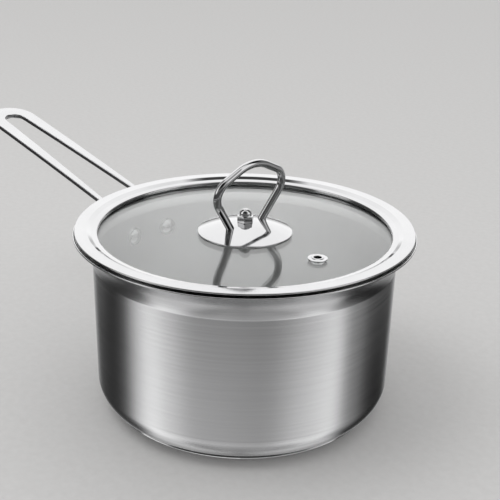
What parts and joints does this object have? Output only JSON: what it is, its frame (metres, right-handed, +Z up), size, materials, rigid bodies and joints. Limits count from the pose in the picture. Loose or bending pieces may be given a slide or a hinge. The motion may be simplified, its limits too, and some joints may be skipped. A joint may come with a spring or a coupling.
{
  "type": "saucepan with glass lid",
  "caption": "Stainless saucepan with flared rim, long slotted loop handle and a lift-off flat glass lid in a steel ring with a wire loop knob and steam vent.",
  "frame": {"origin": "centre of the flat underside of the base, on the pan's axis", "axes": "+Z up along the pan's axis, +X along the handle away from the pan, Y across the handle; the steam vent is at -X"},
  "size_m": [0.3242, 0.1796, 0.1367],
  "materials": {
    "brushed_steel": "fine horizontal brushed grain",
    "polished_steel": "mirror polished stainless steel",
    "aluminium_core": "plain",
    "clear_glass": "clear tempered glass",
    "clear_silicone": "translucent soft silicone"
  },
  "bodies": {
    "pan": {"pan_body": "brushed_steel", "base_core": "aluminium_core", "base_cap": "polished_steel", "handle_bracket": "polished_steel", "handle": "polished_steel", "handle_rivets": "polished_steel"},
    "lid": {"lid_glass": "clear_glass", "lid_ring": "polished_steel", "vent_eyelet": "polished_steel", "vent_sleeve": "clear_silicone", "vent_washer": "polished_steel", "knob_rosette": "polished_steel", "knob_loop": "polished_steel", "knob_cap_nut": "polished_steel", "knob_screw": "polished_steel", "knob_washer": "polished_steel", "knob_gasket": "clear_silicone", "knob_grommet": "clear_silicone"}
  },
  "joints": [
    {"name": "lid_lift", "type": "slide", "parent": "pan", "child": "lid", "axis": [0, 0, 1], "range_m": [0, 0.15]}
  ]
}
